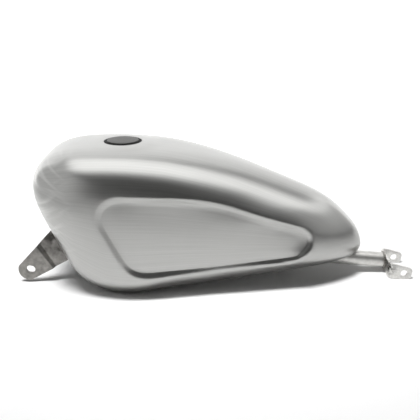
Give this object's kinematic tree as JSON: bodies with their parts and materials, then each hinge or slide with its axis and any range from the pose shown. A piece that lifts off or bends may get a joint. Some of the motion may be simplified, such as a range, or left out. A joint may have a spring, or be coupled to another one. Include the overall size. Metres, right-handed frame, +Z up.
{
  "type": "motorcycle fuel tank",
  "caption": "Raw steel motorcycle fuel tank with dished side panels, a backbone tunnel, a flush pop-up screw cap, a front mounting ear and a forked rear mount.",
  "frame": {"origin": "on the ground under the middle of the bounding box, in the tank's mid plane", "axes": "+X towards the tail, +Y to the rider's right, +Z up"},
  "size_m": [0.6319, 0.2356, 0.2233],
  "materials": {
    "brushed_steel": "raw brushed and pressed sheet",
    "mill_steel": "dull mill finish",
    "machined_steel": "turned",
    "knob_grey": "grey anodised, satin",
    "rim_black": "black, satin",
    "seal_rubber": "matt",
    "slip_nylon": "natural nylon",
    "spring_steel": "bright drawn"
  },
  "bodies": {
    "tank": {"left_skin": "brushed_steel", "right_skin": "brushed_steel", "tunnel": "brushed_steel", "left_floor": "brushed_steel", "right_floor": "brushed_steel", "petcock_bung": "machined_steel", "front_ear": "mill_steel", "rear_tube": "mill_steel", "rear_fork": "mill_steel", "filler_neck": "machined_steel"},
    "cap_seal": {"cap_gasket": "seal_rubber"},
    "cap_ring": {"cap_slip_washer": "slip_nylon"},
    "cap": {"cap_base": "rim_black", "cap_spring": "spring_steel", "cap_stem_seal": "seal_rubber", "cap_detent_ring": "spring_steel", "cap_vent_valve": "seal_rubber"},
    "knob": {"cap_knob": "knob_grey", "drive_pin_front": "machined_steel", "drive_pin_rear": "machined_steel", "cap_retaining_clip": "spring_steel"}
  },
  "joints": [
    {"name": "cap_lift", "type": "slide", "parent": "tank", "child": "cap_seal", "axis": [0, 0, 1], "range_m": [0, 0.06]},
    {"name": "cap_rise", "type": "slide", "parent": "cap_seal", "child": "cap_ring", "axis": [0, 0, 1], "range_m": [0, 0.009]},
    {"name": "cap_turn", "type": "hinge", "parent": "cap_ring", "child": "cap", "pos_m": [-0.146, 0, 0.2215], "axis": [0, 0, 1], "range_deg": [0, 1080]},
    {"name": "knob_pop", "type": "slide", "parent": "cap", "child": "knob", "axis": [0, 0, 1], "range_m": [0, 0.012], "deforming": ["cap_spring"]}
  ],
  "couplings": [
    {"joint": "cap_rise", "follows": "cap_turn", "m_per_rad": 0.00047746}
  ]
}
